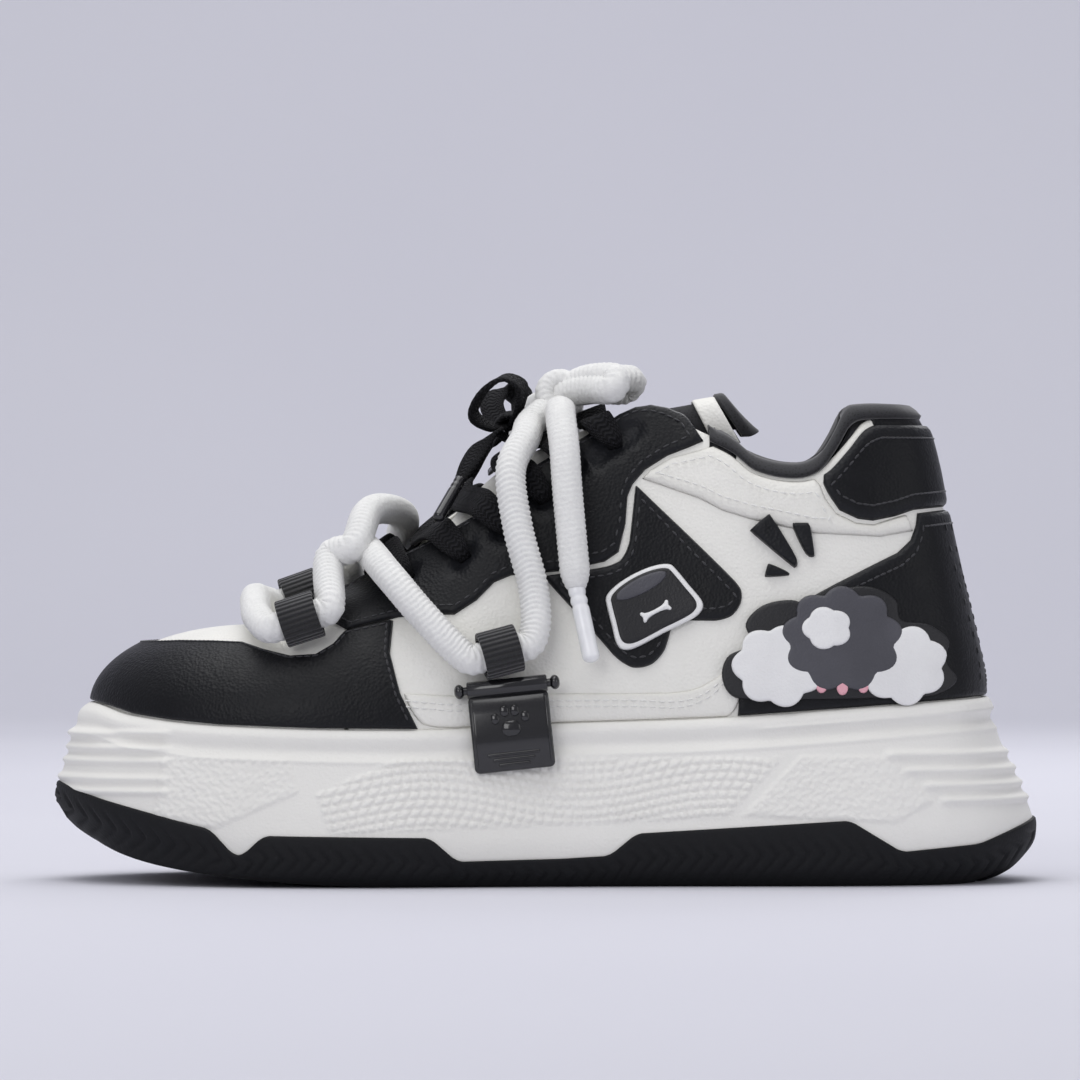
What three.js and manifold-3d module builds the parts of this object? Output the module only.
// A left-foot cheer shoe: a chunky lace-up sneaker on a thick platform sole.
// Millimetres, +Z up. The toe points to -X and the outer (lateral) side faces -Y.
// The origin is the centre of the footprint's box, on the ground.
//
// The upper is one smooth skin over the foot. Every pattern piece is a sheet at its own height
// above or below that skin, cut out with its own flat pattern seen from the side.
import * as THREE from "three";
import { mergeVertices } from "three/addons/utils/BufferGeometryUtils.js";
import Module from "manifold-3d";

const wasm = await Module();
wasm.setup();

// ---------- driving dimensions ----------
const length = 285;
const width = 112;
const soleHeight = 46; // ground to the sole's rim at the waist
const upperHeight = 92; // sole's rim to the top of the heel collar
const outsoleFloor = 4;
const outsoleWall = 2.6;
const rimLip = 3.3; // the midsole's edge around the foot of the upper
const rimDepth = 7;
const leather = 1.3; // base upper leather
const overlay = 1.3; // overlay leather
const stiffener = 1.1;
const lining = 1;
const boardThickness = 2;
const linerThickness = 4;
const foam = 6; // collar foam
const tongueFoam = 5;
const fit = 0.3; // clearance between pieces that touch
const cupGap = 0.8; // between the rubber cup and the block inside it
const seamGap = 0.4; // between pieces that meet edge to edge
const webbing = 1.4;
const webbingWidth = 11;
const ropeDiameter = 9;
const eyeletDiameter = 6;
const barDiameter = 2.4;
const tagWidth = 23;
const tagHeight = 22;
const tagThickness = 1.4;

// ---------- small helpers ----------
const V = (x, y, z) => new THREE.Vector3(x, y, z);
const mix = (a, b, t) => a + (b - a) * t;
const clamp = THREE.MathUtils.clamp;
const softStep = (d, w) => (d > 30 * w ? d : w * Math.log1p(Math.exp(d / w)));

// A smooth function through [x, y] knots, level beyond its ends.
function through(knots) {
  const last = knots.length - 1;
  const slope = knots.map((k, i) => {
    const a = knots[Math.max(i - 1, 0)];
    const b = knots[Math.min(i + 1, last)];
    return i === 0 || i === last ? 0 : (b[1] - a[1]) / (b[0] - a[0]);
  });
  return (x) => {
    if (x <= knots[0][0]) return knots[0][1];
    if (x >= knots[last][0]) return knots[last][1];
    let i = 0;
    while (x > knots[i + 1][0]) i++;
    const h = knots[i + 1][0] - knots[i][0];
    const t = (x - knots[i][0]) / h;
    const s = t * t * (3 - 2 * t);
    return (
      mix(knots[i][1], knots[i + 1][1], s) +
      h * t * (1 - t) * (slope[i] * (1 - t) - slope[i + 1] * t)
    );
  };
}

// The same, with straight lines between the knots.
function straight(knots) {
  const last = knots.length - 1;
  return (x) => {
    if (x <= knots[0][0]) return knots[0][1];
    if (x >= knots[last][0]) return knots[last][1];
    let i = 0;
    while (x > knots[i + 1][0]) i++;
    return mix(knots[i][1], knots[i + 1][1], (x - knots[i][0]) / (knots[i + 1][0] - knots[i][0]));
  };
}

// Patterns are drawn in percent: along the shoe from toe to heel, and up from the sole's rim.
const along = (percent) => (percent / 100 - 0.5) * length;
const percentAt = (x) => (x / length + 0.5) * 100;
const up = (percent) => soleHeight + (percent / 100) * upperHeight;

// ---------- footprint ----------
// Heel centre, round the lateral side to the toe, and back along the medial side.
const footprintPoints = [
  [142.5, 0], [138.5, -19], [126, -34.5], [103, -44], [70, -47], [30, -47.5], [-10, -51],
  [-50, -56], [-85, -53], [-114, -41], [-133, -22], [-142.5, 3], [-137, 25], [-121, 42],
  [-96, 53], [-66, 56], [-30, 51.5], [10, 45], [45, 42.5], [80, 44], [108, 42.5],
  [128, 33], [139, 18],
];
const footprint = (() => {
  const curve = new THREE.CatmullRomCurve3(
    footprintPoints.map(([x, y]) => V(x, y, 0)), true, "centripetal");
  curve.arcLengthDivisions = 1600;
  const points = curve.getSpacedPoints(1440).slice(0, 1440);
  const box = new THREE.Box3().setFromPoints(points);
  const size = box.getSize(V(0, 0, 0));
  const middle = box.getCenter(V(0, 0, 0));
  return points.map((p) => p.sub(middle).multiply(V(length / size.x, width / size.y, 1)));
})();
const count = footprint.length;

// Where station u (0 to 1 round the footprint) is, and the way in from its edge.
function edgeAt(u) {
  const s = (u - Math.floor(u)) * count;
  const i = Math.floor(s) % count;
  const p = footprint[i].clone().lerp(footprint[(i + 1) % count], s - Math.floor(s));
  const a = footprint[(i + count - 6) % count];
  const b = footprint[(i + 7) % count];
  const t = b.clone().sub(a).normalize();
  return { x: p.x, y: p.y, inX: t.y, inY: -t.x };
}
const toeTip = footprint.reduce((best, p, i) => (p.x < footprint[best].x ? i : best), 0) / count;

// The station of one side where a falling measure along the shoe, of(u), comes to x.
function stationWhere(of, x, side) {
  let [a, b] = [side === "lateral" ? 0 : 1, toeTip];
  for (let n = 0; n < 36; n++) {
    const m = (a + b) / 2;
    if (of(m) > x) a = m;
    else b = m;
  }
  return (a + b) / 2;
}

// Stations that every ring shares, in percent along the shoe: from the heel down the lateral
// side to the toe, and back up the medial side.
const stops = [
  99.8, 98.6, 96.2, 93.2, 89.5, 85.6, 80.4, 74, 66.5, 59, 56.3, 48.5, 41.1, 38.4, 31, 25.5, 21.8,
  19, 16.2, 11.5, 7, 3.4, 1, 0.1,
];
const stations = [
  ...stops.map((f) => stationWhere((u) => edgeAt(u).x, along(f), "lateral")),
  ...stops.map((f) => stationWhere((u) => edgeAt(u).x, along(f), "medial")).reverse(),
];

// ---------- the sole's side wall ----------
const spring = through([[0, 22], [1.5, 16.5], [5, 10.4], [12, 5.2], [24, 1.2], [36, 0]]);
const heelKick = through([[94, 0], [97, 3], [99, 8], [100, 12]]);
const groundZ = (x) => spring(percentAt(x)) + heelKick(percentAt(x));
const rimRise = through([[3.3, 5.8], [8, 2.6], [17, 0], [37, -1.2], [51, 0.5], [67, 2], [94, 7.4], [100, 7.6]]);
const rimZ = (x) => soleHeight + rimRise(percentAt(x));
const rimShare = (x, z) => (z / rimZ(x)) * 100;

// How far the wall lies in from the footprint, by height in percent of the rim's: round the
// toe, along the sides and round the heel.
const toeWall = through([[20, 12], [32, 4.1], [42, 0], [57, 0.5], [72, 2.8], [89, 4.6], [100, 8.7], [110, 12]]);
const sideWall = through([[0, 6], [10, 1.6], [25, 0], [43, 1], [64, 3], [85, 5.2], [100, 7], [110, 8.5]]);
const heelWall = through([[0, 18], [7, 8], [19, 1.8], [29, 0.5], [37, 1.2], [58, 5.8], [78, 10.6], [100, 13.5], [110, 14]]);
function wallInset(edge, x, z) {
  const share = rimShare(x, z);
  const end = edge.inX * edge.inX;
  return mix(sideWall(share), edge.inX > 0 ? toeWall(share) : heelWall(share), end);
}

// The wall's point at station u and height levelZ(x), moved in by extra.
function wallPoint(u, levelZ, extra) {
  const edge = edgeAt(u);
  let x = edge.x;
  let inset = 0;
  for (let n = 0; n < 12; n++) {
    inset = mix(inset, wallInset(edge, x, levelZ(x)) + extra, 0.6);
    x = edge.x + edge.inX * inset;
  }
  return V(x, edge.y + edge.inY * inset, levelZ(x));
}
const wallRing = (levelZ, extra = 0) => stations.map((u) => wallPoint(u, levelZ, extra));

// ---------- the upper's skin ----------
const featherDepth = rimDepth - fit; // the upper's foot lies this far below the rim
const toePole = along(22); // the toe's ribs fan out from here
const heelPole = along(78);
const ridgeHeight = through([
  [22, 31], [25.5, 37], [28.9, 43.5], [32.5, 49.5], [36, 57.6], [39.5, 71.7], [44.4, 91.3],
  [49.3, 102], [55.6, 109.8], [58.4, 113], [63, 118.5], [67.5, 135], [71, 149], [78, 165],
]);
const ridgeY = through([[22, 5], [50, 4], [78, 0]]);
const topPower = through([[22, 2.4], [36, 1.9], [50, 1.7], [63, 1.4], [78, 1.15], [94, 1.05]]);
const sidePower = through([[22, 2.4], [36, 2]]);
const bulge = 3;
const bulgeHeight = 14;
const rollRadius = 11;
const rollShare = 0.86; // how far round its quarter turn the collar's edge rolls in

// The upper's top edge seen from the side: the throat's edge, then the collar.
const collarEdge = [
  [65.4, 94.8], [68.7, 89.9], [71.1, 84.1], [75.2, 81.6], [78, 84], [80.5, 91.6], [82.4, 98],
  [84.6, 100], [95, 100.4], [100, 100.4],
];
const topEdge = {
  lateral: through([
    [25.3, 39], [28.3, 40.6], [31.3, 45.2], [33.8, 49.9], [37.9, 57.3], [42.9, 66], [45.3, 73.1],
    [49.3, 82], [52.9, 88.5], [55.7, 93.9], [58.4, 99], [60.8, 100.1], [63.2, 98.2], ...collarEdge,
  ]),
  medial: through([
    [25.3, 39], [28.3, 41], [31.3, 46], [33.8, 51], [37.9, 61], [42.9, 72], [45.3, 77],
    [49.3, 84.5], [52.9, 90], [55.7, 94.5], [58.4, 99], [60.8, 100.1], [63.2, 98.2], ...collarEdge,
  ]),
};

// The rib at station u: it rises from the feather edge F to the ridge over C.
function ribAt(u) {
  const edge = edgeAt(u);
  const rim = wallPoint(u, rimZ, rimLip + fit);
  const cx = toePole + softStep(rim.x - toePole, 5) - softStep(rim.x - heelPole, 5);
  const f = percentAt(cx);
  const cy = ridgeY(f);
  const reach = Math.hypot(rim.x - cx, rim.y - cy);
  const collar = up(topEdge.lateral(percentAt(rim.x)));
  const low = rimZ(rim.x) - featherDepth;
  const high = up(ridgeHeight(f));
  return {
    fx: rim.x,
    cx,
    cy,
    reach,
    outX: (rim.x - cx) / reach,
    outY: (rim.y - cy) / reach,
    low,
    high,
    span: Math.min(high, collar + 9) - low,
    top: topPower(percentAt(rim.x)),
    side: sidePower(percentAt(rim.x)),
    collar,
    roll: rollRadius * THREE.MathUtils.smoothstep(rim.x, along(58), along(70)),
  };
}

// A point on the skin: tau runs from 0 at the feather edge to a quarter turn at the ridge.
function skinPoint(rib, tau) {
  const z = rib.low + (rib.high - rib.low) * Math.pow(Math.sin(tau), 2 / rib.top);
  const h = (z - rib.low) / bulgeHeight;
  let out = rib.reach * Math.pow(Math.max(Math.cos(tau), 1e-6), 2 / rib.side);
  out += bulge * h * Math.exp(1 - h) * Math.cos(tau);
  const into = rib.roll > 0 ? clamp(1 - (rib.collar - z) / rib.roll, 0, 1) * rollShare : 0;
  out -= rib.roll * (1 - Math.sqrt(1 - into * into));
  return V(rib.cx + rib.outX * out, rib.cy + rib.outY * out, z);
}

function tauAt(rib, z) {
  const share = clamp((z - rib.low) / (rib.high - rib.low), 0, 1);
  return Math.asin(Math.pow(share, rib.top / 2));
}

// The skin at station u and angle tau, lifted along its outward normal.
function skin(u, tau, lift) {
  const p = skinPoint(ribAt(u), tau);
  if (lift === 0) return p;
  const t = clamp(tau, 0.012, Math.PI / 2 - 0.03);
  const du = 0.002;
  const dt = 0.01;
  const alongU = skinPoint(ribAt(u + du), t).sub(skinPoint(ribAt(u - du), t));
  const alongT = skinPoint(ribAt(u), t + dt).sub(skinPoint(ribAt(u), t - dt));
  return p.addScaledVector(alongT.cross(alongU).normalize(), lift);
}

// The skin point seen from the side at (x, z), lifted outwards.
function onSide(x, z, side, lift) {
  const u = stationWhere((s) => ribAt(s).fx, x, side);
  return skin(u, tauAt(ribAt(u), z), lift);
}

// A closed solid from rings of points. Each ring runs out along one side and back along the
// other, so its end caps are strips between the two sides.
function ringsToSolid(rings) {
  const n = rings[0].length;
  const position = rings.flat().flatMap((p) => [p.x, p.y, p.z]);
  const index = [];
  for (let i = 0; i < rings.length - 1; i++) {
    for (let j = 0; j < n; j++) {
      const k = (j + 1) % n;
      const a = i * n;
      const b = a + n;
      index.push(a + j, a + k, b + j, a + k, b + k, b + j);
    }
  }
  for (const [start, flip] of [[0, true], [(rings.length - 1) * n, false]]) {
    for (let j = 0; j < n / 2 - 1; j++) {
      const quad = [j, j + 1, n - 2 - j, n - 1 - j].map((k) => start + k);
      const faces = [quad[0], quad[1], quad[2], quad[0], quad[2], quad[3]];
      index.push(...(flip ? faces.reverse() : faces));
    }
  }
  return outwards(closedGeometry(position, index));
}

function closedGeometry(position, index) {
  const g = new THREE.BufferGeometry();
  g.setAttribute("position", new THREE.Float32BufferAttribute(position, 3));
  g.setIndex(index);
  return g;
}

function signedVolume(g) {
  const p = g.getAttribute("position");
  const i = g.index.array;
  const a = V(0, 0, 0);
  const b = V(0, 0, 0);
  const c = V(0, 0, 0);
  let sum = 0;
  for (let k = 0; k < i.length; k += 3) {
    a.fromBufferAttribute(p, i[k]);
    b.fromBufferAttribute(p, i[k + 1]);
    c.fromBufferAttribute(p, i[k + 2]);
    sum += a.dot(b.cross(c));
  }
  return sum;
}

function outwards(g) {
  if (signedVolume(g) > 0) return g;
  const i = g.index.array;
  for (let k = 0; k < i.length; k += 3) [i[k + 1], i[k + 2]] = [i[k + 2], i[k + 1]];
  return g;
}

function toManifold(geometry) {
  const bare = geometry.clone();
  bare.deleteAttribute("normal");
  bare.deleteAttribute("uv");
  const g = mergeVertices(bare, 1e-3);
  return new wasm.Manifold(new wasm.Mesh({
    numProp: 3,
    vertProperties: g.getAttribute("position").array,
    triVerts: new Uint32Array(g.index.array),
  }));
}

function fromManifold(solid) {
  const m = solid.getMesh();
  const g = new THREE.BufferGeometry();
  g.setAttribute("position", new THREE.BufferAttribute(new Float32Array(m.vertProperties), 3));
  g.setIndex(new THREE.BufferAttribute(new Uint32Array(m.triVerts), 1));
  return g;
}

// The biggest body of a cut: what a trim leaves besides is a crumb.
function biggest(solid) {
  return solid.decompose().sort((a, b) => b.volume() - a.volume())[0];
}

const cut = (g, ...cutters) =>
  fromManifold(cutters.reduce((rest, c) => rest.subtract(toManifold(c)), toManifold(g)));
const join = (g, ...more) => fromManifold(more.reduce((s, t) => s.add(toManifold(t)), toManifold(g)));
const crumb = 0.1; // detail smaller than this is smoothed away
const hiddenCrumb = 0.14;
const solidOf = (s, cutters) => cutters.reduce((rest, c) => rest.subtract(c), s);
const trim = (s, size, cutters) =>
  fromManifold(biggest(solidOf(s, cutters).simplify(size)));
const solid = (s, ...cutters) => trim(s, crumb, cutters);
const hidden = (s, ...cutters) => trim(s, hiddenCrumb, cutters);

// The whole foot shape at one lift from the skin, its foot lowered by drop: a solid whose rows
// every layer of the upper shares, so layers stay parallel.
const rows = [0, 0.08, 0.18, 0.32, 0.48, 0.64, 0.78, 0.89, 0.96, 1];
const lastTau = Math.PI / 2 - 0.03;
const bodies = new Map();
function foot(lift, drop = 0) {
  const key = `${lift} ${drop}`;
  if (!bodies.has(key)) {
    const rings = rows.map((row) => stations.map((u) => {
      const rib = ribAt(u);
      return skin(u, Math.min(tauAt(rib, rib.low + rib.span * row), lastTau), lift);
    }));
    if (drop) rings.unshift(rings[0].map((p) => p.clone().add(V(0, 0, -drop))));
    bodies.set(key, toManifold(ringsToSolid(rings)));
  }
  return bodies.get(key);
}
// A layer of the upper between two lifts, over the whole foot.
const layer = (inner, outer) => foot(outer).subtract(foot(inner, 3));

// A flat pattern seen from the side, pushed through one side of the shoe or both.
function pattern(points, side, grow = 0) {
  const flat = points.map(([f, h]) => new THREE.Vector2(along(f), up(h)));
  const turn = THREE.ShapeUtils.isClockWise(flat) ? -1 : 1;
  const spread = flat.map((p, i) => {
    const before = flat[(i + flat.length - 1) % flat.length];
    const after = flat[(i + 1) % flat.length];
    const t = after.clone().sub(before).normalize();
    return new THREE.Vector2(p.x + t.y * grow * turn, p.y - t.x * grow * turn);
  });
  const depth = side === "both" ? 2 * width : width - seamGap / 2;
  const g = new THREE.ExtrudeGeometry(new THREE.Shape(spread), { depth, bevelEnabled: false });
  g.rotateX(Math.PI / 2); // the depth now runs towards -Y
  g.translate(0, side === "lateral" ? -seamGap / 2 : width, 0);
  return toManifold(g);
}

// The points of a line that keeps a height over the rim, from one percent to another.
const rimKnots = [3.3, 5.5, 8, 12, 17, 27, 37, 44, 51, 59, 67, 80, 88, 94, 100];
const rimLine = (from, to, over) =>
  [from, ...rimKnots.filter((f) => f > from && f < to), to].map((f) => [
    f, ((rimZ(along(f)) + over - soleHeight) / upperHeight) * 100,
  ]);

// ---------- materials ----------
const finish = (colour, roughness, metalness = 0) =>
  new THREE.MeshStandardMaterial({ color: colour, roughness, metalness });
const whiteLeather = finish(0xefefe9, 0.5);
const blackLeather = finish(0x17181b, 0.5);
const whiteMidsole = finish(0xf2f1ea, 0.6);
const blackRubber = finish(0x151618, 0.75);
const blackMesh = finish(0x101012, 0.9);
const whiteRope = finish(0xf4f4f2, 0.85);
const blackLace = finish(0x0c0c0e, 0.9);
const blackWebbing = finish(0x0f0f12, 0.85);
const liningFabric = finish(0xd8d8d4, 0.9);
const foamGrey = finish(0xbdbdb8, 0.95);
const fibreBoard = finish(0xb9ab90, 0.9);
const whitePlastic = finish(0xf0f0ee, 0.3);
const blackPlastic = finish(0x0d0d0f, 0.35);
const softBadge = finish(0x3a3a3d, 0.55);

const shoe = new THREE.Group();
function add(name, geometry, material) {
  const mesh = new THREE.Mesh(geometry, material);
  mesh.name = name;
  shoe.add(mesh);
  return mesh;
}

// ---------- sole ----------
// The rubber's upper edge steps up and down along the side.
const rubberEdge = straight([
  [0, 29], [5, 24.6], [16.4, 16.7], [18.8, 9.3], [19.7, 9.4], [21.8, 15], [38.4, 14.4],
  [41.1, 7.6], [51.4, 8.3], [56.3, 9.1], [59, 15.4], [80.4, 19], [85.6, 10], [93.6, 12], [100, 19],
]);
const rubberZ = (x) => rubberEdge(percentAt(x)) * (soleHeight / 46);
const floorZ = (x) => groundZ(x) + outsoleFloor;
const cupTop = (x) => Math.max(rubberZ(x), floorZ(x) + 1);
const cupMiddle = (x) => (floorZ(x) + cupTop(x)) / 2;
const midWall = (x) => mix(cupTop(x), rimZ(x), 0.5);
const grooveDepth = 1.6;
const grooveWidth = 2.4;
const groovePitch = 22;
const grooves = [];
for (let x = along(40); x < along(90); x += groovePitch) {
  for (const turn of [1, -1]) {
    const bar = new THREE.BoxGeometry(grooveWidth, width, 2 * grooveDepth);
    bar.translate(0, (turn * width) / 2, 0);
    bar.rotateZ(turn * -0.5);
    bar.translate(x, 0, 0);
    grooves.push(toManifold(bar));
  }
}
// The rubber is a shallow cup; grown by a gap, it is also what the midsole keeps clear of.
const rubberBody = (gap) => toManifold(ringsToSolid([
  wallRing((x) => groundZ(x) - gap, -gap),
  wallRing((x) => Math.min(groundZ(x) + 3.5, rubberZ(x) - 2), -gap),
  wallRing((x) => rubberZ(x) + gap, -gap),
])).subtract(toManifold(ringsToSolid([
  wallRing((x) => floorZ(x) + gap, outsoleWall + gap),
  wallRing((x) => cupMiddle(x) + gap, outsoleWall + gap),
  wallRing((x) => cupTop(x) + gap + 2, outsoleWall + gap),
])));
add("outsole", solid(rubberBody(0), ...grooves), blackRubber);

const core = ringsToSolid([
  wallRing((x) => floorZ(x) + cupGap, outsoleWall / 2),
  wallRing((x) => cupMiddle(x) + cupGap),
  wallRing(cupTop),
  wallRing(midWall),
  wallRing(rimZ),
]);
add("midsole", hidden(toManifold(core), rubberBody(cupGap), foot(fit, fit)), whiteMidsole);

// ---------- what lies under the foot ----------
// Depths below the skin, layer by layer.
const puffOut = -leather - fit;
const puffIn = puffOut - stiffener;
const liningOut = puffIn - fit;
const liningIn = liningOut - lining;
const slabInset = fit - liningIn;
function slab(bottom, top, extraInset = 0) {
  const ring = (dz) => stations.map((u) => {
    const rib = ribAt(u);
    const out = rib.reach - slabInset - extraInset;
    return V(rib.cx + rib.outX * out, rib.cy + rib.outY * out, rib.low + dz);
  });
  return ringsToSolid([ring(bottom), ring(top)]);
}
const linerTop = boardThickness + fit + linerThickness;
add("insole_board", slab(0, boardThickness), fibreBoard);
add("sock_liner", slab(boardThickness + fit, linerTop, 1), liningFabric);

// ---------- base upper ----------
// Lace holes, in percent: the last one takes the strand that rises to the bow.
const eyelets = [[36.2, 45.2], [41.8, 51.9], [45.9, 60.2], [49.8, 70], [53, 79.6], [57, 87]];
const normalAt = (x, z, side) => onSide(x, z, side, 1).sub(onSide(x, z, side, 0)).normalize();
const bores = (side, grow = 0) => eyelets.map(([f, h]) => {
  const [x, z] = [along(f), up(h)];
  const radius = eyeletDiameter / 2 + grow;
  const bore = new THREE.CylinderGeometry(radius, radius, 12, 8);
  const turn = new THREE.Quaternion().setFromUnitVectors(V(0, 1, 0), normalAt(x, z, side));
  const at = onSide(x, z, side, 0);
  return toManifold(bore.applyQuaternion(turn).translate(at.x, at.y, at.z));
});
const throat = (() => {
  const plan = [
    [26.8, 0.04], [28, -0.03], [30, -0.07], [32.5, -0.09], [60, -0.09], [60, 0.15], [32.5, 0.15],
    [30, 0.14], [28, 0.1],
  ].map(([f, share]) => new THREE.Vector2(along(f), share * width));
  const g = new THREE.ExtrudeGeometry(new THREE.Shape(plan), { depth: upperHeight, bevelEnabled: false });
  return toManifold(g.translate(0, 0, up(34)));
})();
const vampEnd = 30; // percent along the shoe where the vamp meets the quarters
const far = 110;
const deep = -20;
const edgeLine = (side, from, to, drop = 0) => {
  const steps = 13;
  return Array.from({ length: steps + 1 }, (_, i) => {
    const f = mix(from, to, i / steps);
    return [f, topEdge[side](f) - (drop / upperHeight) * 100];
  });
};
const baseLayer = layer(-leather, 0);
const seam = (seamGap / 2 / length) * 100;
const vampHalves = ["lateral", "medial"].map((side) => pattern(
  [[-5, deep], [-5, 39], [25.3, 39], ...edgeLine(side, 25.5, vampEnd - seam), [vampEnd - seam, deep]], side, 0.001));
const halfGap = new THREE.BoxGeometry(along(24.5) - along(-5), seamGap * 2, 4 * upperHeight);
halfGap.translate((along(24.5) + along(-5)) / 2, 0, soleHeight);
const vampCut = vampHalves[0].add(vampHalves[1]).add(toManifold(halfGap));
add("vamp", solid(baseLayer.intersect(vampCut), throat), whiteLeather);
const clearLayer = layer(-leather - fit / 2, fit / 2);
const quarterClear = [];
const collarDrop = 1.6; // the quarters' edge lies this far under the collar's mesh
for (const side of ["lateral", "medial"]) {
  const outline = [
    [vampEnd + seam, deep], ...edgeLine(side, vampEnd + seam, 63),
    ...edgeLine(side, 63.5, 84.6, collarDrop), [far, 100.4 - (collarDrop / upperHeight) * 100], [far, deep],
  ];
  add(`quarter_${side}`,
    solid(baseLayer.intersect(pattern(outline, side)), throat, ...bores(side)), whiteLeather);
  quarterClear.push(clearLayer.intersect(pattern(outline, side, fit)));
}

// ---------- linings, stiffeners and foam ----------
const liningFoot = linerTop + 0.6 - featherDepth; // over the rim
const foamFloor = [[66.4, 88], [67.5, 72], [71, 62.5], [76.9, 57.5], [84, 56.5], [90, 59], [far, 60]];
const puffLayer = layer(puffIn, puffOut);
const liningLayer = layer(liningIn, liningOut);
add("toe_puff", hidden(puffLayer.intersect(pattern(
  [[-5, 3], [-5, 22], [13.5, 22], [15, 14], [14, 3]], "both"))), fibreBoard);
add("heel_stiffener", hidden(puffLayer.intersect(pattern(
  [[76, 3], [78.5, 30], [82, 44], [86, 50], [far, 50], [far, 3]], "both"))), fibreBoard);
add("vamp_lining", hidden(liningLayer.intersect(pattern(
  [...rimLine(-5, vampEnd - 0.3, liningFoot), [vampEnd - 0.3, 26], [20, 24], [15.5, 60], [-5, 60]],
  "both"))), liningFabric);
const liningOutline = [
  ...rimLine(vampEnd + 0.3, far, liningFoot), ...foamFloor.map(([f, h]) => [f, h - 1.6]).reverse(),
  ...edgeLine("lateral", vampEnd + 0.3, 65.6, 1).reverse(),
];
const foamClear = pattern([...foamFloor, [far, 160], [66.4, 160]], "both", 2);
add("quarter_lining",
  hidden(liningLayer.intersect(pattern(liningOutline, "both")), foamClear, throat), liningFabric);

// The collar's rings run from the medial side round the heel to the lateral side.
const collarStops = [
  66.5, 69, 71.7, 74.4, 77.4, 80.4, 83, 85.6, 89, 92.6, 95.6, 98, 99.6,
];
const collarStations = [
  ...collarStops.map((f) => stationWhere((u) => edgeAt(u).x, along(f), "medial")),
  ...collarStops.map((f) => stationWhere((u) => edgeAt(u).x, along(f), "lateral") + 1).reverse(),
];
const floorHeight = through(foamFloor);
const foamFoot = (rib) => rib.collar - up(floorHeight(percentAt(rib.fx)));
const foamTaper = through([[66.5, 0.25], [71, 0.5], [79, 1]]); // it thins towards the eyestay
const collarSolid = (section) => toManifold(ringsToSolid(collarStations.map((u) => {
  const rib = ribAt(u);
  const foamIn = puffOut - foam * foamTaper(percentAt(rib.fx));
  return section(foamFoot(rib), foamIn).map(([drop, lift]) => skin(u, tauAt(rib, rib.collar - drop), lift));
})));
const foamBody = collarSolid((foamBottom, foamIn) => [
  [foamBottom, -leather], [10, -leather], [6, -leather], [3.4, -leather], [2.4, puffOut - 1],
  [2.4, foamIn + 1.6], [4, foamIn], [7, foamIn], [11, foamIn], [foamBottom, foamIn],
]);
add("collar_foam", hidden(foamBody.intersect(foot(puffOut))), foamGrey);

// The mesh rolls over the collar: an outside band, over the foam, and down its inside.
const bandHeight = 4.5;
const meshOut = fit + lining;
const meshBody = collarSolid((foamBottom, foamIn) => {
  const meshIn = foamIn - fit - 0.1;
  const middle = (meshOut + meshIn - lining) / 2;
  return [
    [bandHeight, fit], [bandHeight, meshOut], [1.5, meshOut], [-0.6, -0.8], [-1.2, middle],
    [0.6, meshIn + 1], [4, meshIn - lining], [7, meshIn - lining], [11, meshIn - lining],
    [foamBottom - 2, meshIn - lining], [foamBottom - 2, meshIn], [11, meshIn], [7, meshIn], [4, meshIn],
    [1.8, meshIn + 1.6], [-0.1, middle], [0.5, -0.6], [1.4, fit],
  ];
});
add("collar_lining", solid(meshBody, ...quarterClear), blackMesh);

// ---------- overlays ----------
const overTop = fit + overlay;
const overLayer = layer(fit, overTop);
const toeCapOutline = [
  ...rimLine(-5, 37.2, fit), [35.4, 10], [34.3, 22.3], [34.5, 32.4], [29.6, 28.6], [28.5, 24.7],
  [26.8, 21.6], [24.3, 21], [21.4, 22.7], [19.3, 24.6], [16.4, 24.9], [13, 24.9], [7.9, 24.2], [-5, 24],
];
add("toe_cap", solid(overLayer.intersect(pattern(toeCapOutline, "both"))), blackLeather);

const eyestayOutline = (side) => [
  [25.6, 36.2], [29.9, 29.4], [35, 33.4], [38.6, 34.3], [40.7, 34.3], [42.9, 38.7], [44.7, 44.3],
  [46.4, 46.5], [49, 47.2], [51.4, 47.8], [53.5, 49.2], [55.9, 50.8], [57.3, 53.8], [58, 62.6],
  [58.2, 71.3], [58.7, 75], [60, 79.6], [62.2, 84], [64.6, 87], [65.9, 88.6], [65, 93.4],
  ...edgeLine(side, 25.8, 64, 0.4).reverse(),
];
const wingOutline = [
  [59, 75.1], [62, 66], [69.3, 44], [69.8, 40.6], [69.3, 35.5], [67.9, 32.4], [65.6, 32.4],
  [63.7, 32.6], [62.6, 31.2], [62.3, 26.5], [61.6, 21], [59.8, 17.2], [57.6, 18.6], [55.5, 26.5],
  [52.7, 35.9], [49.6, 46.4], [56.6, 49.2], [58.2, 53], [58.6, 62.4],
];
const heelCoverOutline = [
  ...rimLine(69.2, far, fit), [far, 67.4], [92, 67.4], [87.8, 66], [87.6, 62], [87, 57.5],
  [85.6, 53.6], [82.8, 49.5], [79.2, 44], [75.2, 37.4], [72.6, 29.7], [69.4, 11.1],
];
const stripOutline = [
  ...rimLine(37.4, 72, fit), [72.6, 29], [68.6, 20], [66.9, 14.2], [64.4, 10.2], [59.4, 9.9],
  [50.4, 9.9], [42.1, 9], [36.3, 9.9], [35.5, 10],
];
const heelCollarOutline = [
  [77.9, 75.2], [78.7, 70.9], [79.6, 66.9], [81.5, 64.2], [83.1, 63.6], [85.4, 65], [87.4, 67],
  [92, 68.4], [far, 68.4], [far, 93.6], ...edgeLine("lateral", 77.9, 83.6, bandHeight + 0.8).reverse(),
];
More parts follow.
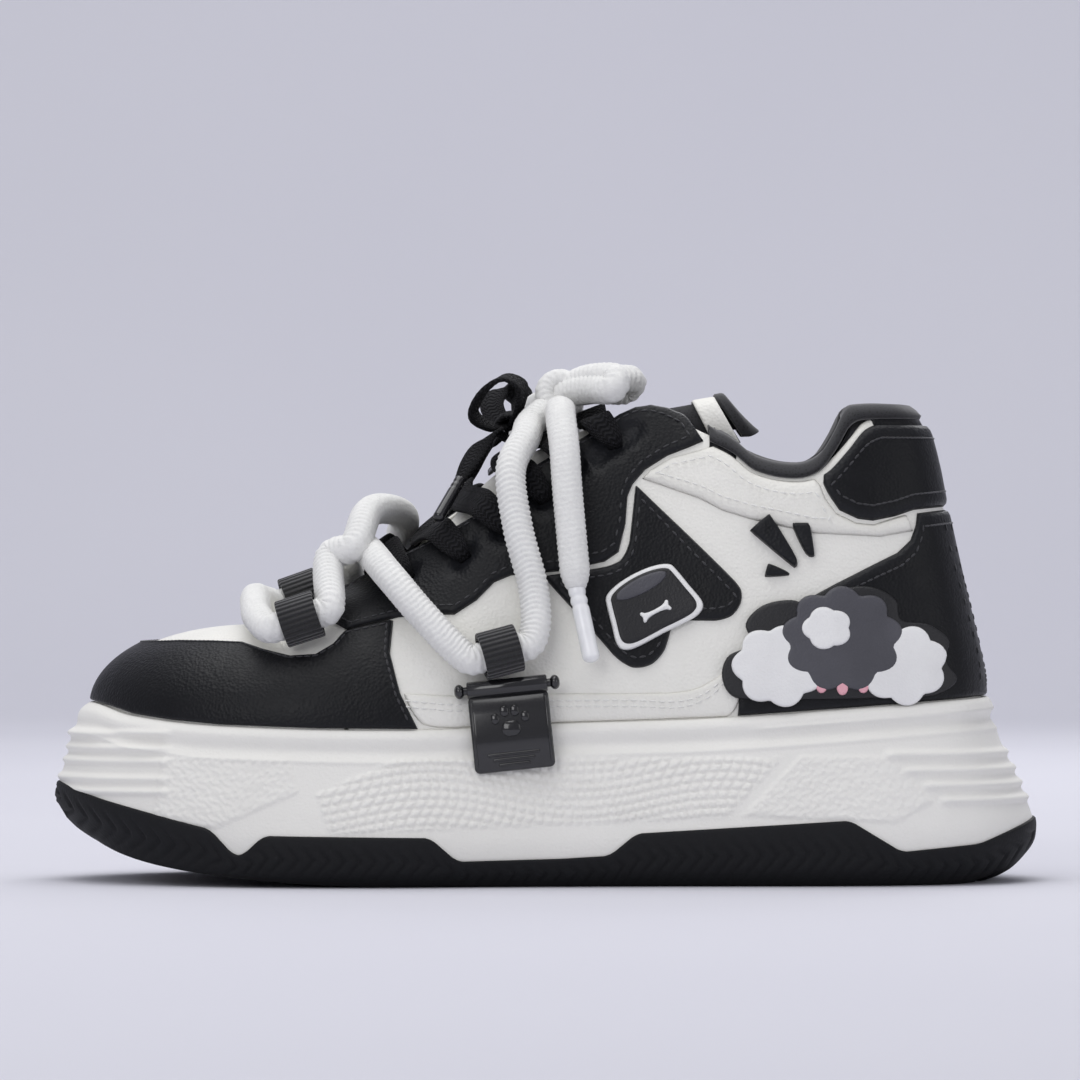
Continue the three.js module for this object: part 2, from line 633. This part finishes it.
const panelOutline = [
  [59.7, 76.8], [65.4, 70.5], [67.7, 66.8], [70.4, 64.2], [76.9, 59.7], [83.8, 58.6], [88.4, 60.6],
  [87, 66.6], [85.4, 65], [83.1, 62.6], [81.3, 63.2], [79.3, 66.2], [78.3, 70.7], [77.8, 75],
  ...edgeLine("lateral", 66.9, 77, bandHeight + 0.8).reverse(), [62.6, 83.4], [60.4, 79.2],
];
const capClear = pattern(toeCapOutline, "both", seamGap);
const coverClear = pattern(heelCoverOutline, "both", seamGap);
const heelCollarClear = pattern(heelCollarOutline, "both", seamGap);

for (const side of ["lateral", "medial"]) {
  const stay = pattern(eyestayOutline(side), side);
  const stayClear = pattern(eyestayOutline(side), side, seamGap);
  const wing = pattern(wingOutline, side);
  const wingClear = pattern(wingOutline, side, seamGap);
  add(`eyestay_${side}`, solid(overLayer.intersect(stay), capClear, throat, ...bores(side)), blackLeather);
  add(`side_wing_${side}`, solid(overLayer.intersect(wing), stayClear), blackLeather);
  add(`side_strip_${side}`,
    solid(overLayer.intersect(pattern(stripOutline, side)), capClear, coverClear, wingClear), whiteLeather);
  add(`collar_panel_${side}`, solid(overLayer.intersect(pattern(panelOutline, side)),
    stayClear, wingClear, heelCollarClear, coverClear), whiteLeather);
}
add("heel_cover", solid(overLayer.intersect(pattern(heelCoverOutline, "both"))), blackLeather);
add("heel_collar",
  solid(overLayer.intersect(pattern(heelCollarOutline, "both")), coverClear), blackLeather);

// ---------- badges ----------
const badge = 0.9;
const badgeLayer = layer(overTop + fit, overTop + fit + badge);
const cloudOutline = [
  [68.6, 9], [67.6, 15], [68.2, 21], [70.6, 25], [70, 31], [71.6, 36.6], [74.6, 38.6], [77.4, 36.4],
  [79.4, 41.6], [82.6, 42.8], [85.2, 38.4], [85.6, 32.6], [88.6, 30.8], [90.6, 25.6], [90.2, 19.6],
  [91.4, 13.6], [89.4, 9.4], [85, 8.6], [79, 8], [73, 8],
];
add("cloud_patch", solid(badgeLayer.intersect(pattern(cloudOutline, "lateral"))), softBadge);
const bowlOutline = [
  [56.8, 30.3], [56.6, 26.8], [58.2, 25], [61.2, 26.6], [64.4, 37.4], [64.8, 44.4], [63.4, 48.4],
  [61, 52.6], [59.4, 52.4], [57.6, 46.8], [56.3, 43.6],
];
add("bowl_badge", solid(badgeLayer.intersect(pattern(bowlOutline, "lateral"))), softBadge);
// ---------- tongue ----------
// The tongue is a long arched strip: its crown line, and its arch's half width and drop.
const tongueStart = 24;
const tongueEnd = 66.6;
const tongueCrown = through([
  [24, 31.2], [25.4, 34], [32.5, 45.2], [36, 54.3], [39.5, 63.5], [44.4, 79.9], [50, 90.2],
  [57, 98.9], [63, 103], [68.6, 105.4],
]);
const archWidth = through([[24, 10], [31, 10.4], [36, 10.8], [44, 11], [50, 10.4], [57, 9.2], [68, 8.8]]);
const archDrop = through([[24, 2.4], [31, 3.4], [36, 5.4], [44, 8.4], [50, 9.2], [60, 9.8], [68, 9.6]]);
const tongueY = through([[24, 3.6], [46, 3.2], [58, 2.2], [68, 1.8]]); // percent of the width
const archLean = through([[45, 0], [60, 0.3], [67, 0.6]]);
const archBeyond = 7;

function tonguePoint(f, t) {
  const a = (archWidth(f) / 100) * width;
  const d = (archDrop(f) / 100) * upperHeight;
  const r = (a * a + d * d) / (2 * d);
  const phi = t * (Math.asin(Math.min(a / r, 1)) + (archBeyond / r) * THREE.MathUtils.smoothstep(f, 24, 36));
  const fall = r * (1 - Math.cos(phi));
  return V(along(f) + fall * archLean(f), (tongueY(f) / 100) * width + r * Math.sin(phi), up(tongueCrown(f)) - fall);
}
function onTongue(f, t, lift) {
  const alongF = tonguePoint(f + 0.2, t).sub(tonguePoint(f - 0.2, t));
  const alongT = tonguePoint(f, t + 0.02).sub(tonguePoint(f, t - 0.02));
  return tonguePoint(f, t).addScaledVector(alongF.cross(alongT).normalize(), lift);
}
const tongueStops = Array.from({ length: 16 }, (_, i) => mix(tongueStart, tongueEnd, i / 15));
function tongueSheet(from, to, reach, inner, outer, nt = 8) {
  const rings = [];
  for (const f of [from, ...tongueStops.filter((s) => s > from + 0.5 && s < to - 0.5), to]) {
    const across = Array.from({ length: nt + 1 }, (_, j) => reach * ((2 * j) / nt - 1));
    rings.push([
      ...across.map((t) => onTongue(f, t, outer)),
      ...across.reverse().map((t) => onTongue(f, t, inner)),
    ]);
  }
  return ringsToSolid(rings);
}
const tongueCloth = 1.2;
const topPanelStart = 57;
const tongueGap = 0.5;
const foamTop = -tongueCloth - tongueGap;
const backTop = foamTop - tongueFoam - tongueGap;
add("tongue_face", tongueSheet(tongueStart, topPanelStart, 1, -tongueCloth, 0), whiteLeather);
add("tongue_top_panel",
  tongueSheet(topPanelStart + 0.15, tongueEnd, 1, -tongueCloth, 0), blackMesh);
add("tongue_hem", tongueSheet(tongueEnd - 2.2, tongueEnd, 0.94, fit, fit + 1.1), whiteLeather);
add("tongue_foam",
  tongueSheet(tongueStart + 1, tongueEnd - 0.4, 0.9, foamTop - tongueFoam, foamTop), foamGrey);
// The lining runs up the back and rolls forward over the top of the foam.
const rollOver = [
  [66.4, backTop - lining], [68, backTop - 0.4], [68.8, (backTop + foamTop) / 2], [68.2, foamTop + 0.4],
  [67, foamTop + 0.4], [67.5, (backTop + foamTop) / 2], [67, backTop + 0.6], [66.3, backTop],
];
const backStops = [tongueStart + 1, ...tongueStops.slice(1, -1)];
const backRings = Array.from({ length: 9 }, (_, j) => {
  const t = 0.9 * (j / 4 - 1);
  return [
    ...backStops.map((f) => onTongue(f, t, backTop - lining)),
    ...rollOver.map(([f, lift]) => onTongue(f, t, lift)),
    ...backStops.toReversed().map((f) => onTongue(f, t, backTop)),
  ];
});
add("tongue_lining", ringsToSolid(backRings), blackMesh);
add("lace_keeper", tongueSheet(44.2, 46, 0.3, fit, fit + 0.7, 3), blackWebbing);

// ---------- webbing loops for the rope ----------
// A loop stands on the leather; the rope runs through it along the shoe, rising by slope.
const loopInner = ropeDiameter / 2 + fit + 0.7;
const loopSeat = loopInner + webbing - 0.2; // from the rope's centre down to the leather
const sideLoopLift = loopSeat + fit;
const frontLoopLift = loopSeat + overTop + fit;
function loopAt(f, h, side, lift, slope) {
  const x = along(f);
  const z = up(h);
  const centre = onSide(x, z, side, lift);
  const normal = normalAt(x, z, side);
  const run = V(1, 0, slope);
  run.addScaledVector(normal, -run.dot(normal)).normalize();
  const round = (radius, floor, n) => Array.from({ length: n }, (_, i) => {
    const angle = ((i + 0.5) / n) * 2 * Math.PI;
    return new THREE.Vector2(radius * Math.cos(angle), Math.max(radius * Math.sin(angle), -floor));
  });
  const shape = new THREE.Shape(round(loopInner + webbing, loopSeat, 12));
  shape.holes.push(new THREE.Path(round(loopInner + 0.1, loopInner, 12)));
  const g = new THREE.ExtrudeGeometry(shape, { depth: webbingWidth, bevelEnabled: false });
  g.translate(0, 0, -webbingWidth / 2);
  g.applyMatrix4(new THREE.Matrix4().makeBasis(normal.clone().cross(run), normal, run));
  g.translate(centre.x, centre.y, centre.z);
  const reach = webbingWidth / 2 + 3;
  const through = [-reach, -0.4 * reach, 0.4 * reach, reach].map((d) => centre.clone().addScaledVector(run, d));
  return { geometry: g, through, centre, run, normal };
}
const loops = {
  side: {
    lateral: loopAt(45.2, 21, "lateral", sideLoopLift, 0.3),
    medial: loopAt(45.2, 21, "medial", sideLoopLift, 0.3),
  },
  front: {
    lateral: loopAt(26, 26, "lateral", frontLoopLift, 0.28),
    medial: loopAt(25.6, 32, "medial", frontLoopLift, 0.12),
  },
};
for (const place of ["side", "front"]) {
  for (const side of ["lateral", "medial"]) {
    add(`${place}_loop_${side}`, loops[place][side].geometry, blackWebbing);
  }
}

// ---------- cords ----------
// A point is [percent along, percent of the width, percent up], or with a side's name in the
// middle [percent along, percent up, side, lift] on the skin.
const place = (p) => {
  if (p.isVector3) return p;
  if (typeof p[2] === "string") return onSide(along(p[0]), up(p[1]), p[2], p[3]);
  return V(along(p[0]), (p[1] / 100) * width, up(p[2]));
};
function cord(points, diameter, steps, sides = 8) {
  const path = new THREE.CatmullRomCurve3(points.map(place), false, "centripetal");
  const shape = new THREE.Shape(Array.from({ length: sides }, (_, i) => {
    const angle = (i / sides) * 2 * Math.PI;
    return new THREE.Vector2(Math.cos(angle), Math.sin(angle)).multiplyScalar(diameter / 2);
  }));
  return new THREE.ExtrudeGeometry(shape, { steps, extrudePath: path, bevelEnabled: false });
}
const sideLoop = { lateral: loops.side.lateral.through.toReversed(), medial: loops.side.medial.through };
const frontLoop = {
  lateral: loops.front.lateral.through,
  medial: loops.front.medial.through.toReversed(),
};
const ropePath = [
  [49.8, -5.8, 98.2], [48.4, -10.7, 94.3], [47.9, -19.2, 89.7], [47.1, 73.9, "lateral", 11.2],
  [47.3, 57.6, "lateral", 9.2], [48.6, 40.2, "lateral", 6.6], [48.7, 28.3, "lateral", 6.8],
  ...sideLoop.lateral, [41.2, 20.7, "lateral", 6.4], [38.1, 30.4, "lateral", 7.4],
  [35.3, 39.1, "lateral", 10.2], [31.4, -13.8, 55.4], [29.6, 1.8, 54.3], [30.2, 43.5, "medial", 9],
  [30.0, 35.3, "medial", 9.4], ...frontLoop.medial, [20.5, 29.3, "medial", 8], [20.4, 13.4, 38.6],
  [20.2, 3.6, 39.1], [20.4, -10.7, 37.5], [21.1, 25.0, "lateral", 8.2], ...frontLoop.lateral,
  [28.9, 30.4, "lateral", 9.4], [29.8, 40.2, "lateral", 13.5], [30.4, -23.7, 55.4],
  [31.8, -12.9, 65.8], [33.9, 1.8, 67.4], [35.3, 13.8, 64.7], [37.0, 47.3, "medial", 12],
  [39.5, 32.6, "medial", 7.4], [41.2, 21.7, "medial", 6.5], ...sideLoop.medial, [48.7, 28.3, "medial", 6.8],
  [48.6, 40.2, "medial", 6.6], [47.3, 57.6, "medial", 9.2], [47.1, 72.8, "medial", 11.4],
  [47.5, 25.0, 89.7], [48.9, 13.4, 98.9], [50.1, 3.0, 101.1]
];
add("rope_lace", cord(ropePath, ropeDiameter, 66), whiteRope);

const ball = (centre, radii) => {
  const g = new THREE.SphereGeometry(1, 12, 8);
  return g.scale(...radii).translate(centre.x, centre.y, centre.z);
};
const ropeKnot = place([51.4, -2.7, 103.8]);
const ropeBowLateral = [
  [51.4, -2.7, 103.8], [53.5, -5.4, 107.6], [55.4, -9.8, 108.7], [57.0, -13.4, 108.2],
  [56.7, -15.2, 105.4], [54.4, -9.4, 105.4], [51.4, -2.7, 103.8]
];
const ropeBowMedial = [
  [51.4, -2.7, 103.8], [54.2, 2.7, 108.2], [57.0, 8.0, 108.7], [58.8, 12.5, 108.2],
  [58.2, 14.3, 105.8], [55.3, 9.4, 105.8], [51.4, -2.7, 103.8]
];
add("rope_bow", join(ball(ropeKnot, [7, 7, 7]),
  cord(ropeBowLateral, ropeDiameter, 13), cord(ropeBowMedial, ropeDiameter, 13)), whiteRope);
const ropeEnds = {
  lateral: [
  [51.4, -14.7, 98.9], [51.5, -21.0, 94.6], [51.8, -27.2, 87.0], [52.1, 69.6, "lateral", 10.6],
  [52.8, 40.2, "lateral", 8]
  ],
  medial: [
  [52.3, 16.5, 102.2], [52.3, 22.8, 98.9], [52.4, 29.5, 89.1], [52.8, 67.4, "medial", 10.4],
  [53.3, 41.3, "medial", 8]
  ],
};
const agletLength = 21;
const agletDiameter = 5;
for (const side of ["lateral", "medial"]) {
  const points = ropeEnds[side].map(place);
  add(`rope_end_${side}`, cord(points, ropeDiameter, 12), whiteRope);
  const tip = points.at(-1);
  const path = new THREE.CatmullRomCurve3(points, false, "centripetal");
  const way = path.getTangent(1).add(V(0.12, 0, 0)).normalize();
  const aglet = new THREE.CylinderGeometry(agletDiameter / 2, agletDiameter / 2, agletLength, 10);
  aglet.translate(0, agletLength / 2 + fit + 0.6, 0);
  aglet.applyQuaternion(new THREE.Quaternion().setFromUnitVectors(V(0, 1, 0), way));
  add(`rope_aglet_${side}`, aglet.translate(tip.x, tip.y, tip.z), whitePlastic);
}

// ---------- flat lace ----------
const laceWidth = 9;
const laceThickness = 1.6;
const laceInHole = 4.2;
// A flat strip along points, lying across the direction wide; each point has its own width.
function strip(points, widths, wide) {
  const path = points.map(place);
  return ringsToSolid(path.map((p, i) => {
    const ahead = path[Math.min(i + 1, path.length - 1)];
    const tangent = ahead.clone().sub(path[Math.max(i - 1, 0)]).normalize();
    const normal = wide.clone().cross(tangent).normalize();
    const across = tangent.clone().cross(normal);
    const a = widths[i] / 2;
    const t = laceThickness / 2;
    const corners = [
      [-a, 0.3 * t], [0.4 - a, t], [a - 0.4, t], [a, 0.3 * t],
      [a, -0.3 * t], [a - 0.4, -t], [0.4 - a, -t], [-a, -0.3 * t],
    ];
    return corners.map(([w, n]) => p.clone().addScaledVector(across, w).addScaledVector(normal, n));
  }));
}
const overStay = overTop + laceThickness / 2 + fit + 1;
const overTongue = laceThickness / 2 + fit + 1;
// How a strand leaves a lace hole: out of the hole, then up over the throat's edge.
function fromHole([f, h], side) {
  const reach = side === "lateral" ? 1.15 : 1.7;
  const over = (share, lift) => onSide(
    along(f) - 4.4 * reach * share, up(h) + 4.8 * reach * share, side, lift);
  return [
    over(0, -0.8), over(0, 1.4), over(0.1, overStay - 0.4), over(0.5, overStay + 0.7), over(1, overStay + 1.2),
  ];
}
const holeWidths = [laceInHole, laceInHole, 6, 8, laceWidth];
// Where a flat lace bears on a leather edge or a rope bears on the lace, the lace gives way.
const stayGuard = ["lateral", "medial"].map((side) => solidOf(
  layer(puffOut, overTop + fit).intersect(pattern(eyestayOutline(side), side, fit)), bores(side, -fit)));
const ropeGuard = [ropePath, ropeEnds.lateral, ropeEnds.medial]
  .map((points) => toManifold(cord(points, ropeDiameter + 2 * fit, points.length * 3)));
const quarterGuard = quarterClear.map((clear, i) => solidOf(clear, bores(["lateral", "medial"][i], -fit)));
const soft = (g) => solid(toManifold(g), ...stayGuard, ...quarterGuard, ...ropeGuard);
eyelets.forEach((hole, i) => {
  const left = fromHole(hole, "lateral");
  const right = fromHole(hole, "medial").reverse();
  const f = percentAt(left.at(-1).x) - [0.2, 1.2, 1.6, 1.6, 1, 0.2][i];
  const middle = [-0.4, -0.2, 0, 0.2, 0.4].map((t) => onTongue(f, t, overTongue + 2 * Math.abs(t)));
  const widths = [...holeWidths, ...middle.map(() => laceWidth), ...holeWidths.toReversed()];
  const wide = onTongue(f + 1, 0, 0).sub(onTongue(f - 1, 0, 0)).normalize();
  add(`flat_lace_${i + 1}`, soft(strip([...left, ...middle, ...right], widths, wide)), blackLace);
});

const flatKnot = place([46.5, 1.8, 93.5]);
const loopLateral = [
  [46.1, 0.9, 93.5], [44.0, -2.7, 94.0], [42.6, -6.2, 97.8], [43.7, -8.5, 104.9], [45.8, -8.9, 108.7], [47.5, -7.6, 106.0], [47.2, -3.6, 98.9], [46.5, 0.9, 94.6],
];
const loopMedial = [
  [46.5, 2.7, 93.5], [45.1, 8.0, 96.2], [44.4, 13.4, 101.1], [45.4, 17.9, 105.4], [47.2, 17.9, 104.3], [47.4, 12.5, 100.0], [46.7, 3.6, 94.6],
];
const bowWidths = (n) => Array.from({ length: n }, (_, i) => mix(4, 8, Math.sin((i / (n - 1)) * Math.PI)));
add("flat_bow", soft(join(ball(flatKnot, [5.6, 6.5, 4.6]),
  strip(loopLateral, bowWidths(8), V(0.35, 0.9, 0.2).normalize()),
  strip(loopMedial, bowWidths(7), V(0.9, -0.3, 0.2).normalize()))), blackLace);
const flatEnds = {
  a: [[45.4, 9.1, 90.2], [44.0, 13.4, 88.0], [42.5, 19.6, 82.6], [41.2, 25.0, 73.9]],
  b: [[44.9, -5.2, 91.3], [43.7, -8.9, 88.6], [42.5, -13.8, 83.2], [41.2, -19.2, 76.1]],
};
const flatAgletLength = 16;
for (const end of ["a", "b"]) {
  const points = flatEnds[end].map(place);
  add(`flat_end_${end}`, strip(points, points.map(() => 7.5), V(0.8, end === "a" ? -0.2 : 0.2, 0.55).normalize()), blackLace);
  const tip = points.at(-1);
  const way = tip.clone().sub(points.at(-2)).normalize();
  const aglet = new THREE.CylinderGeometry(1.7, 1.7, flatAgletLength, 8);
  aglet.translate(0, flatAgletLength / 2 + fit + 0.4, 0);
  aglet.applyQuaternion(new THREE.Quaternion().setFromUnitVectors(V(0, 1, 0), way));
  add(`flat_aglet_${end}`, aglet.translate(tip.x, tip.y, tip.z), blackPlastic);
}

// ---------- hanging tag ----------
// The tag's sleeve turns round a bar below the lateral side loop; the card leans out to clear
// the sole's rim.
const sleeveGap = 0.4;
const sleeveWall = 0.9;
const barOver = 1.6; // how far the bar's ends stand out of the sleeve
const sleeveOuter = barDiameter / 2 + sleeveGap + sleeveWall;
const barAt = onSide(along(45.9), up(11.2), "lateral", sleeveOuter + overTop + fit + 0.6);
const barTilt = THREE.MathUtils.degToRad(6);
const cardBottom = wallPoint(stationWhere((u) => edgeAt(u).x, barAt.x - tagWidth / 2, "lateral"),
  () => soleHeight - 9, 0);
const lean = Math.asin((barAt.y - cardBottom.y + 1.6) / tagHeight);
const tagTurn = new THREE.Matrix4().makeRotationY(-barTilt)
  .multiply(new THREE.Matrix4().makeRotationX(-lean)).setPosition(barAt);
const alongBar = (g) => g.rotateZ(Math.PI / 2);
const bar = alongBar(new THREE.CylinderGeometry(barDiameter / 2, barDiameter / 2, tagWidth + 2 * barOver, 12));
const knob = (end) => {
  const g = new THREE.SphereGeometry(barDiameter / 2 + 0.9, 12, 8);
  return g.translate(end * (tagWidth / 2 + barOver + 0.6), 0, 0);
};
add("tag_bar", join(bar, knob(-1), knob(1)).applyMatrix4(tagTurn), blackPlastic);
const sleeve = alongBar(new THREE.CylinderGeometry(sleeveOuter, sleeveOuter, tagWidth, 16));
const sleeveHole = alongBar(
  new THREE.CylinderGeometry(barDiameter / 2 + sleeveGap, barDiameter / 2 + sleeveGap, tagWidth + 2, 16));
const card = new THREE.BoxGeometry(tagWidth, tagThickness, tagHeight);
card.translate(0, 0, -tagHeight / 2 - sleeveOuter + 0.6);
add("hang_tag", cut(join(sleeve, card), sleeveHole).applyMatrix4(tagTurn), blackPlastic);

export default shoe;
